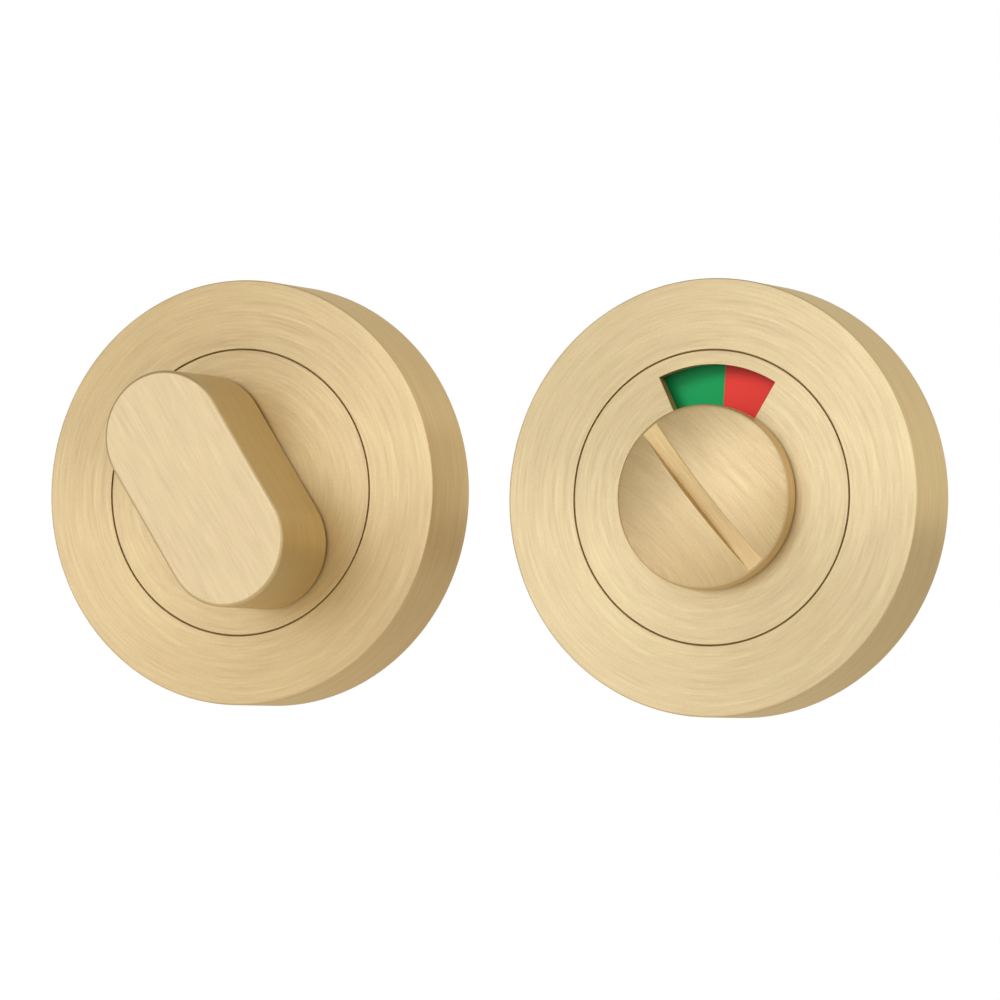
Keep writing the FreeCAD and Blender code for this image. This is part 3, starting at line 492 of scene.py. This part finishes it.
shaft_radius = 5
shaft_chamfer = 0.25
groove_radius = 4.5
groove_play = 0.05
clip_thickness = 0.8
washer_room = 1.1
socket_side = 5.1
turn_clip_rear = hub_height - bush_flange - washer_room - clip_thickness
turn_shaft_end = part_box("thumb_turn")[1].y / -MM
turn_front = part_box("thumb_turn")[0].y / -MM
grip_length = 31.1
grip_width = 15.8
grip_gap = 0.4
grip_front_round = 0.45
grip_back_round = 0.25
turn_socket_depth = 8.5
pin_height = 6.6
pin_hole = 2.04
drill_length = 3 * shaft_radius
wall_slope = 0.3
grip_lean = math.radians(34)
grip_back = rose_depth + grip_gap

form = oval_bar(turn_axis, grip_length, grip_width, grip_back, turn_front, grip_back_round,
                grip_front_round)
form = merged(form, lathe(shaft_corners(turn_shaft_end, [turn_clip_rear], grip_back + overlap)
                          + [(0, grip_back + overlap, 0)], turn_axis, steps=96))
form = carved(form, socket_cutter(turn_axis, turn_shaft_end, turn_socket_depth))
form = carved(form, cross_rod(pin_hole / 2, drill_length))
form = leaning_left(form, turn_axis, grip_lean)
# The side walls' faces take the second finish, a darker brass that paints the shade on them.
form.normal_update()
for face in form.faces:
    if -face.calc_center_median().y > grip_back and abs(face.normal.y) < wall_slope:
        face.material_index = 1
grip_brass = satin_brass("grip_brass", straight_grain(turn_axis, grip_lean), (0.806, 0.642, 0.390, 1),
                         (0.720, 0.574, 0.348, 1))
grip_wall_painted_shade_brass = satin_brass("grip_wall_painted_shade_brass", straight_grain(turn_axis, grip_lean),
                              (0.677, 0.533, 0.289, 1), (0.620, 0.486, 0.263, 1))
make_piece("thumb_turn_forging", form, grip_brass, "thumb_turn", "turn", grip_wall_painted_shade_brass)


# The square spindle and its cross pin: drawn steel, bright zinc plated.
# The bar keeps the small round corners of the drawing die, and its free end is chamfered to find the lock.

plated_steel = plain_finish("plated_steel", (0.71, 0.71, 0.69, 1), (0.64, 0.64, 0.63, 1), roughness=0.30,
                            metallic=1, mottle=1200, relief=0.001, drawn=60)
spindle_half = 2.5
spindle_corner = 0.3
spindle_chamfer = 0.6
spindle_inner_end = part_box("spindle")[0].y / MM
spindle_outer_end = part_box("spindle")[1].y / MM
form = block((turn_axis - spindle_half, spindle_inner_end, -spindle_half),
             (turn_axis + spindle_half, spindle_outer_end, spindle_half))
bmesh.ops.bevel(form, geom=level_edges(form, -spindle_outer_end), offset=spindle_chamfer,
                offset_type="OFFSET", affect="EDGES", segments=1, profile=0.5, material=-1)
long_edges = [edge for edge in form.edges if edge.calc_length() > 2 * spindle_half]
bmesh.ops.bevel(form, geom=long_edges, offset=spindle_corner, offset_type="OFFSET", affect="EDGES",
                segments=4, profile=0.5, material=-1)
form = carved(form, cross_rod(pin_hole / 2, drill_length))
form = leaning_left(form, turn_axis, grip_lean)
make_piece("spindle_bar", form, plated_steel, "spindle", "turn")

pin_radius = 1
pin_inset = 0.3
pin_round = 0.15
form = cross_rod(pin_radius, 2 * (shaft_radius - pin_inset))
rims = [edge for edge in form.edges if abs(edge.verts[0].co.x - edge.verts[1].co.x) < NEAR]
bmesh.ops.bevel(form, geom=rims, offset=pin_round, offset_type="OFFSET", affect="EDGES",
                segments=3, profile=0.5, material=-1)
form = leaning_left(form, turn_axis, grip_lean)
make_piece("spindle_cross_pin", form, plated_steel, "spindle_pin", "turn")


# Wave washers behind the bearings: blackened spring steel strip in three waves, lightly oiled.
# They keep a light drag on each shaft.

spring_steel = plain_finish("spring_steel", (0.20, 0.20, 0.21, 1), (0.12, 0.12, 0.125, 1), roughness=0.35,
                            metallic=1, mottle=500, relief=0.004)
washer_edge = 0.06
washer_thickness = 0.3
washer_inner = 5.4
washer_outer = 7.4
washer_play = 0.1
washer_waves = 3
washer_swing = (washer_room - 2 * washer_play - washer_thickness) / 2


def wave_washer(half, along, clip_rear):
    low = clip_rear + clip_thickness + washer_play + washer_swing
    form = lathe([
        (washer_inner, low, washer_edge),
        (washer_outer, low, washer_edge),
        (washer_outer, low + washer_thickness, washer_edge),
        (washer_inner, low + washer_thickness, washer_edge),
    ], along, steps=120)
    for corner in form.verts:
        angle = math.atan2(corner.co.z, corner.co.x - along)
        corner.co.y -= washer_swing * math.sin(washer_waves * angle)
    make_piece(half + "_wave_spring", form, spring_steel, half + "_wave_washer", "roses")


release_clip_rear = 0.9
wave_washer("turn", turn_axis, turn_clip_rear)
wave_washer("release", release_axis, release_clip_rear)


# The retaining rings that hold both shafts and the indicator: stamped from the same spring steel.
# Each is sprung into its groove in the shaft.

def dress(name, finish):
    """Gives a node of the frame its finish."""
    nodes[name].data.materials.clear()
    nodes[name].data.materials.append(finish)


for name in ("turn_retaining_ring", "release_retaining_ring", "indicator_retaining_ring"):
    dress(name, spring_steel)


# The two fixing bolts of the turn half: plated steel, waisted inside the flange and threaded behind it.
# Their round heads have a cross recess and lie under the cover.

def cross_recess(form, along, up, span, mouth, foot):
    """Presses a cross into a head, tapered between two heights above the door, its mouth and its foot."""
    width = span * recess_share
    for across, tall in ((span, width), (width, span)):
        cutter = block((along - across / 2, -max(mouth, foot), up - tall / 2),
                       (along + across / 2, -min(mouth, foot), up + tall / 2))
        narrow = [corner for corner in cutter.verts if abs(corner.co.y + foot) < NEAR]
        bmesh.ops.scale(cutter, vec=(recess_taper, 1, recess_taper), verts=narrow,
                        space=Matrix.Translation((-along, 0, -up)))
        form = carved(form, cutter)
    return form


recess_taper = 0.55
recess_share = 0.25
recess_mouth = 0.1
bolt_recess = 1.3
bolt_cross = 4
bolt_radius = 2
bolt_point = 1.3
bolt_lead = 1.6
bolt_waist = 1.7
bolt_waist_tail = 0.5
bolt_pitch = 0.7
bolt_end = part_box("turn_fixing_bolts")[1].y / MM
bolt_head_radius = 3.2
bolt_head_top = flange_thickness + 2.2
thread_depth = 0.3
form = lathe([(0, -bolt_end, 0), (bolt_point, -bolt_end, 0)]
             + thread_wall(bolt_radius, -bolt_end + bolt_lead, -bolt_waist_tail, bolt_pitch)
             + [(bolt_waist, -bolt_waist_tail, 0),
                (bolt_waist, flange_thickness, 0),
                (bolt_head_radius, flange_thickness, 0.12),
                (bolt_head_radius, bolt_head_top, 0.55),
                (0, bolt_head_top, 0)], turn_axis, fixing_pitch, steps=32)
cut_thread(form, bolt_radius, -bolt_end, -bolt_waist_tail, bolt_pitch, -thread_depth, turn_axis,
           fixing_pitch)
form = cross_recess(form, turn_axis, fixing_pitch, bolt_cross, bolt_head_top + recess_mouth,
                    bolt_head_top - bolt_recess)
make_piece("turn_fixing_bolt_pair", copies_around(form, turn_axis, 2), plated_steel, "turn_fixing_bolts",
           "roses")


# The base of the release half: cast like the other but hollow, with a window for the indicator.
# Two posts inside stop the indicator and take the screws of the bearing plate.

release_inside = 16.55
release_underside = rose_depth - release_face_thickness
plate_back = 2.8
plate_thickness = 1.6
plate_front = plate_back + plate_thickness
stop_post_radius = 2.2
stop_post_pitch = 13
stop_post_angle = math.radians(150)
pilot_radius = 0.95
pilot_depth = 4
window_inner = 10
window_outer = 15.8
window_left = math.radians(-26)
window_right = math.radians(30)


def stop_post_places():
    """Where the two posts stand, left and right of the axis below the middle."""
    return [(release_axis + side * stop_post_pitch * math.sin(stop_post_angle),
             stop_post_pitch * math.cos(stop_post_angle)) for side in (-1, 1)]


form = lathe([
    (base_bore, release_underside, 0.1),
    (release_inside, release_underside, 0.4),
    (release_inside, 0, 0.2),
] + flange_and_boss(), release_axis)
for along, up in stop_post_places():
    post = lathe([(0, plate_front, 0), (stop_post_radius, plate_front, 0.15),
                  (stop_post_radius, release_underside + overlap, 0),
                  (0, release_underside + overlap, 0)], along, up, steps=64)
    form = merged(form, post)
    pilot = lathe([(0, plate_front - overlap, 0), (pilot_radius, plate_front - overlap, 0),
                   (pilot_radius, plate_front + pilot_depth - pilot_radius / 2, 0),
                   (0, plate_front + pilot_depth, 0)], along, up, 32)
    form = carved(form, pilot)
window = bmesh.new()
window_section = ((window_inner, release_underside - overlap), (window_outer, release_underside - overlap),
                  (window_outer, rose_depth + overlap), (window_inner, rose_depth + overlap))
window_side = [window.verts.new((release_axis + radius * math.sin(window_left), -height,
                                 radius * math.cos(window_left))) for radius, height in window_section]
bmesh.ops.spin(window, geom=[window.faces.new(window_side)], cent=(release_axis, 0, 0), axis=INTO_DOOR,
               angle=window_right - window_left, steps=40)
bmesh.ops.recalc_face_normals(window, faces=window.faces)
form = carved(form, window)
RELEASE_LIGHT = (0.832, 0.676, 0.407, 1)
RELEASE_DARK = (0.724, 0.588, 0.353, 1)
release_brass = satin_brass("release_rose_brass", rings_around(release_axis), RELEASE_LIGHT, RELEASE_DARK)
# Behind its turned face the base keeps the dark cast skin, which on the window's walls is also painted
# shade.
release_skin_and_shade_brass = satin_brass("release_base_brass", rings_around(release_axis), RELEASE_LIGHT,
                                 RELEASE_DARK, skin_and_shade_behind=rose_depth - turned_depth)
make_piece("release_base_casting", base_with_holes(form, release_axis), release_skin_and_shade_brass, "release_base",
           "roses")


# The release knob: turned from the bar with a domed front and a long shaft, then slotted for a coin.
# Its dome is brushed in straight strokes close to the slot's line, and the slot's walls and floor take a
# darker brass that is painted shade.

knob_radius = 10.93
knob_back = rose_depth + 0.35
knob_back_round = 0.2
knob_rim_round = 0.25
knob_rim = rose_depth + 2.45
knob_crown = 1.6
dome_rings = 20
slot_half = 1.05
slot_floor = rose_depth + 2.6
slot_edge = 0.13
slot_edge_steps = 4
flat_half = 4.2
flat_reach = 10
release_shaft_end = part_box("release_knob")[1].y / -MM
indicator_play = 0.4
indicator_thickness = 1
indicator_front = release_underside - bush_flange - indicator_play
indicator_clip_rear = indicator_front - indicator_thickness - groove_play - clip_thickness
release_socket_depth = 9
knob_lean = math.radians(41)
knob_strokes_lean = math.radians(48)
dome_radius = (knob_radius ** 2 + knob_crown ** 2) / (2 * knob_crown)


def dome_height(radius):
    return knob_rim + knob_crown - dome_radius + math.sqrt(dome_radius ** 2 - radius ** 2)


form = lathe(shaft_corners(release_shaft_end, [release_clip_rear, indicator_clip_rear], knob_back)
             + [(knob_radius, knob_back, knob_back_round), (knob_radius, knob_rim, knob_rim_round)]
             + [(knob_radius * index / dome_rings, dome_height(knob_radius * index / dome_rings), 0)
                for index in range(dome_rings - 1, -1, -1)], release_axis)
flats = block((release_axis + flat_half, -indicator_front, -flat_reach),
              (release_axis + flat_reach, 0, flat_reach))
form = carved(form, copies_around(flats, release_axis, 2))
form = carved(form, socket_cutter(release_axis, release_shaft_end, release_socket_depth))


def of_dome(form):
    """The faces of the domed front, with what bounds them."""
    faces = [face for face in form.faces if all(-corner.co.y > knob_rim - 0.01 for corner in face.verts)]
    edges = {edge for face in faces for edge in face.edges}
    return faces + list(edges) + list({corner for edge in edges for corner in edge.verts})


for side in (-1, 1):
    for step in range(slot_edge_steps + 1):
        inset = slot_half + slot_edge * (1 - math.cos(step * math.pi / (2 * slot_edge_steps)))
        bmesh.ops.bisect_plane(form, geom=of_dome(form), dist=0.0001,
                               plane_co=(release_axis + side * inset, 0, 0), plane_no=(1, 0, 0))
inside_slot = [part for part in of_dome(form) if not isinstance(part, bmesh.types.BMFace)
               or abs(part.calc_center_median().x - release_axis) < slot_half]
bmesh.ops.bisect_plane(form, geom=inside_slot, dist=0.0001, plane_co=(0, -slot_floor, 0),
                       plane_no=INTO_DOOR)
above_floor = [face for face in form.faces if abs(face.calc_center_median().x - release_axis) < slot_half
               and -face.calc_center_median().y > slot_floor]
bmesh.ops.delete(form, geom=above_floor, context="FACES")
for corner in form.verts:
    from_edge = abs(corner.co.x - release_axis) - slot_half
    if -NEAR <= from_edge < slot_edge and -corner.co.y > slot_floor:
        drop = slot_edge - math.sqrt(max(0, slot_edge ** 2 - (slot_edge - max(0, from_edge)) ** 2))
        corner.co.y += drop * min(1, (-corner.co.y - slot_floor) / (3 * slot_edge))
milled = []
for side in (-1, 1):
    ends = [corner for corner in form.verts if abs(corner.co.x - release_axis - side * slot_half) < NEAR
            and abs(corner.co.y + slot_floor) < NEAR]
    foot = form.edges.new(ends)
    wall = [edge for edge in form.edges if edge.is_boundary and all(
        abs(corner.co.x - release_axis - side * slot_half) < NEAR for corner in edge.verts)]
    milled += bmesh.ops.contextual_create(form, geom=wall + [foot])["faces"]
floor_edges = [edge for edge in level_edges(form, slot_floor) if edge.is_boundary]
milled += bmesh.ops.contextual_create(form, geom=floor_edges)["faces"]
# The slot's walls and floor take the second finish, a darker brass that paints the shade in the slot.
for face in milled:
    face.material_index = 1
bmesh.ops.recalc_face_normals(form, faces=form.faces)
knob_brass = satin_brass("knob_brass", straight_grain(release_axis, knob_strokes_lean),
                         (0.815, 0.637, 0.370, 1), (0.695, 0.543, 0.314, 1))
slot_painted_shade_brass = satin_brass("slot_painted_shade", straight_grain(release_axis, knob_lean),
                           (0.735, 0.540, 0.272, 1), (0.640, 0.470, 0.237, 1))
make_piece("release_knob_turned", leaning_left(form, release_axis, knob_lean), knob_brass, "release_knob",
           "release", slot_painted_shade_brass)


# The indicator: a stamped brass plate that sits on the shaft's flats and turns behind the window.
# Its face carries a green and a red field of enamel.

stamped_brass = plain_finish("stamped_brass", (0.66, 0.50, 0.26, 1), (0.60, 0.45, 0.23, 1), roughness=0.38,
                             metallic=1, mottle=500, relief=0.005)
green = plain_finish("green_enamel", (0.004, 0.345, 0.098, 1), (0.003, 0.315, 0.088, 1), roughness=0.45,
                     metallic=0, mottle=300, relief=0.004, gloss=0.22)
red = plain_finish("red_enamel", (0.780, 0.042, 0.032, 1), (0.740, 0.038, 0.029, 1), roughness=0.45,
                   metallic=0, mottle=300, relief=0.004, gloss=0.3)
dress("indicator_plate", stamped_brass)
dress("indicator_green", green)
dress("indicator_red", red)


# The bearing plate that closes the release half behind: a brass disc, turned flat on both sides.
# It is countersunk for the two screws that hold it to the stop posts.

plate_radius = release_inside - 0.15
screw_head_radius = 1.8
screw_radius = 0.9
screw_hole_radius = 1.1
sink_radius = screw_head_radius + 0.08
turned_brass = satin_brass("turned_plate_brass", rings_around(release_axis), (0.70, 0.535, 0.285, 1),
                           (0.62, 0.465, 0.235, 1), roughness=0.32)
form = lathe([
    (bush_bore, plate_back, 0.15),
    (plate_radius, plate_back, 0.2),
    (plate_radius, plate_front, 0.2),
    (bush_bore, plate_front, 0.15),
], release_axis, steps=120)
for along, up in stop_post_places():
    sink = lathe([(0, plate_back - overlap, 0), (sink_radius, plate_back - overlap, 0),
                  (sink_radius, plate_back, 0),
                  (screw_hole_radius, plate_back + sink_radius - screw_hole_radius, 0),
                  (screw_hole_radius, plate_front + overlap, 0),
                  (0, plate_front + overlap, 0)], along, up, steps=48)
    form = carved(form, sink)
make_piece("release_bearing_plate", form, turned_brass, "release_back_plate", "roses")


# The bearing plate's two countersunk screws: plated steel, with a cross recess in the head.
# They are driven into the stop posts' pilot holes.

screw_pitch = 0.4
screw_thread_depth = 0.12
screw_recess = 0.7
screw_cross = 2
screw_end = plate_back + 4.4
shank_start = plate_back + screw_head_radius - screw_radius
pair = bmesh.new()
for along, up in stop_post_places():
    shank_end = screw_end - screw_radius / 2
    form = lathe([(0, plate_back, 0), (screw_head_radius, plate_back, 0.06)]
                 + thread_wall(screw_radius, shank_start, shank_end, screw_pitch)
                 + [(screw_radius / 2, screw_end, 0), (0, screw_end, 0)], along, up, 32)
    cut_thread(form, screw_radius, shank_start, shank_end, screw_pitch, -screw_thread_depth, along, up)
    form = cross_recess(form, along, up, screw_cross, plate_back - recess_mouth, plate_back + screw_recess)
    loose = bpy.data.meshes.new("screw")
    form.to_mesh(loose)
    form.free()
    pair.from_mesh(loose)
    bpy.data.meshes.remove(loose)
make_piece("bearing_plate_screw_pair", pair, plated_steel, "back_plate_screws", "roses")


# The two fixing posts of the release half: turned from brass and riveted into its flange.
# They are tapped for the bolts that come through the door from the turn half.

post_radius = 3.4
post_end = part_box("release_fixing_posts")[1].y / MM
post_bore = 1.65
post_bore_end = -4
spigot_radius = 2.25
rivet_radius = 3
rivet_top = flange_thickness + 0.7
form = lathe(thread_wall(post_bore, post_bore_end, -post_end, bolt_pitch) + [
    (post_radius, -post_end, 0.3),
    (post_radius, 0, 0.1),
    (spigot_radius, 0, 0),
    (spigot_radius, flange_thickness, 0),
    (rivet_radius, flange_thickness, 0),
    (rivet_radius, rivet_top, 0.35),
    (0, rivet_top, 0),
    (0, post_bore_end + post_bore / 2, 0),
], release_axis, fixing_pitch, 48)
cut_thread(form, post_bore, -post_end, post_bore_end, bolt_pitch, thread_depth, release_axis, fixing_pitch)
make_piece("release_fixing_post_pair", copies_around(form, release_axis, 2), stamped_brass,
           "release_fixing_posts", "roses")


# The rose covers: deep round caps turned from brass bar, threaded inside and screwed over the bases.
# The front edge is barely broken, and a fine dark seam shows where cover and base meet.

cover_inside = 24.4
cover_bore = 17.60
cover_underside = rose_depth - 2.5
cover_thread_top = 4
cover_mouth = 0.2


def rose_cover(half, along, finish):
    form = lathe([
        (cover_bore, cover_underside, 0),
        (cover_inside, cover_underside, 0.5),
    ] + thread_wall(cover_inside, cover_thread_top, cover_mouth, cover_thread_pitch) + [
        (cover_inside + cover_mouth, 0, 0),
        (rose_radius, 0, 0.2),
        (rose_radius, rose_depth, 0.22),
        (cover_bore, rose_depth, seam_round),
    ], along)
    cut_thread(form, cover_inside, cover_mouth, cover_thread_top, cover_thread_pitch, cover_thread_depth,
               along)
    make_piece(half + "_cover", form, finish, half + "_rose_cover", "roses")


rose_cover("turn", turn_axis, turn_brass)
rose_cover("release", release_axis, release_brass)


# The studio: a pale floor well below the roses, in a plain, warm room with one broad, soft window in front.
# A faint light from the upper right brightens the brass, and one soft lamp on the left, unseen in
# reflections, lights the enamel and nylon.
# The camera stands where the photograph was taken from.

floor_size = 4000
floor_drop = 160
floor_glow = 0.75
floor_mirror_share = 0.1
form = bmesh.new()
bmesh.ops.create_grid(form, x_segments=1, y_segments=1, size=floor_size / 2)
bmesh.ops.translate(form, vec=(turn_axis, 0, -floor_drop), verts=form.verts)
floor = finished("floor", form)
floor_paint, tree, surface = new_finish("floor_paint")
rays = add_node(tree, "LightPath")
clear = reckon(tree, "MAXIMUM", rays.outputs["Is Camera Ray"], rays.outputs["Is Transmission Ray"])
mirrored = reckon(tree, "MULTIPLY", rays.outputs["Is Glossy Ray"], floor_mirror_share)
seen = reckon(tree, "MAXIMUM", clear, mirrored)
surface.inputs["Base Color"].default_value = (0.70, 0.665, 0.60, 1)
surface.inputs["Roughness"].default_value = 0.9
surface.inputs["Specular IOR Level"].default_value = 0.1
surface.inputs["Emission Color"].default_value = (1, 1, 1, 1)
tree.links.new(reckon(tree, "MULTIPLY", seen, floor_glow), surface.inputs["Emission Strength"])
floor.data.materials.append(floor_paint)


def way(azimuth, elevation):
    """A direction from its angles in degrees, right of straight ahead of the roses and above level."""
    aside = Matrix.Rotation(math.radians(azimuth), 3, "Z")
    upward = Matrix.Rotation(math.radians(-elevation), 3, "X")
    return aside @ upward @ -INTO_DOOR


window_way = way(-9, 8)
window_reach = math.radians(40)
side_way = way(27, 35)
side_reach = math.radians(32)
WINDOW = (1.34, 1.46, 1.74, 1)
SIDE_LIGHT = (0.22, 0.22, 0.22, 1)
ROOM_LEFT = (0.52, 0.48, 0.385, 1)
ROOM_RIGHT = (0.87, 0.80, 0.65, 1)
ceiling_shade = 0.5
rear_light = 1.25
world = bpy.data.worlds.new("room")
bpy.context.scene.world = world
world.use_nodes = True
tree = world.node_tree
rays = add_node(tree, "LightPath")
looking = add_node(tree, "TexCoord").outputs["Generated"]
across = add_node(tree, "SeparateXYZ", {0: looking})
walls = mixed(tree, ramp(tree, across.outputs["X"], -1, 1), ROOM_LEFT, ROOM_RIGHT)
height = ramp(tree, across.outputs["Z"], 0.5, 1, 1, ceiling_shade)
left_and_up = reckon(tree, "SUBTRACT", across.outputs["Z"], across.outputs["X"])
rear_left = reckon(tree, "MULTIPLY", across.outputs["Y"], left_and_up)
rear = ramp(tree, rear_left, 0.1, 0.5, 1, rear_light)
shade = reckon(tree, "MULTIPLY", height, rear)
room = add_node(tree, "VectorMath", {0: walls, "Scale": shade}, operation="SCALE").outputs[0]
for toward, reach, light in ((window_way, window_reach, WINDOW), (side_way, side_reach, SIDE_LIGHT)):
    nearness = add_node(tree, "VectorMath", {0: looking, 1: toward}, operation="DOT_PRODUCT")
    apart = reckon(tree, "ARCCOSINE", nearness.outputs["Value"])
    glow = add_node(tree, "MapRange", {"Value": apart, "From Min": reach,
                                       "From Max": 0.0}, interpolation_type="SMOOTHSTEP").outputs[0]
    shine = mixed(tree, glow, (0, 0, 0, 1), light)
    room = add_node(tree, "VectorMath", {0: room, 1: shine}, operation="ADD").outputs[0]
behind = mixed(tree, rays.outputs["Is Camera Ray"], room, (1, 1, 1, 1))
tree.links.new(behind, tree.nodes["Background"].inputs["Color"])

lamp_distance = 0.7
lamp_data = bpy.data.lights.new("soft_lamp", "AREA")
lamp_data.size = 0.25
lamp_data.energy = 2.4
lamp = bpy.data.objects.new("soft_lamp", lamp_data)
lamp_way = way(-28, 25)
lamp.location = Vector(((turn_axis + release_axis) / 2 * MM, 0, 0)) + lamp_way * lamp_distance
lamp.rotation_mode = "QUATERNION"
lamp.rotation_quaternion = lamp_way.to_track_quat("Z", "Y")
lamp.visible_glossy = False
bpy.context.scene.collection.objects.link(lamp)

camera_azimuth = math.radians(23.804)
camera_elevation = math.radians(-1.79)
camera_roll = math.radians(1.421)
camera_distance = 752.185 * MM
camera_target = Vector((32.286, -5.0, -0.381)) * MM
back = Vector((math.sin(camera_azimuth) * math.cos(camera_elevation),
               -math.cos(camera_azimuth) * math.cos(camera_elevation), math.sin(camera_elevation)))
lens = bpy.data.cameras.new("camera")
lens.sensor_width = 36
lens.lens = 223.83
lens.clip_start = 0.05
lens.clip_end = 20
camera = bpy.data.objects.new("camera", lens)
camera.rotation_mode = "QUATERNION"
upright = (-back).to_track_quat("-Z", "Y").to_matrix()
camera.rotation_quaternion = (upright @ Matrix.Rotation(camera_roll, 3, "Z")).to_quaternion()
camera.location = camera_target + back * camera_distance
bpy.context.scene.collection.objects.link(camera)
bpy.context.scene.camera = camera
bpy.context.scene.view_settings.view_transform = "Standard"
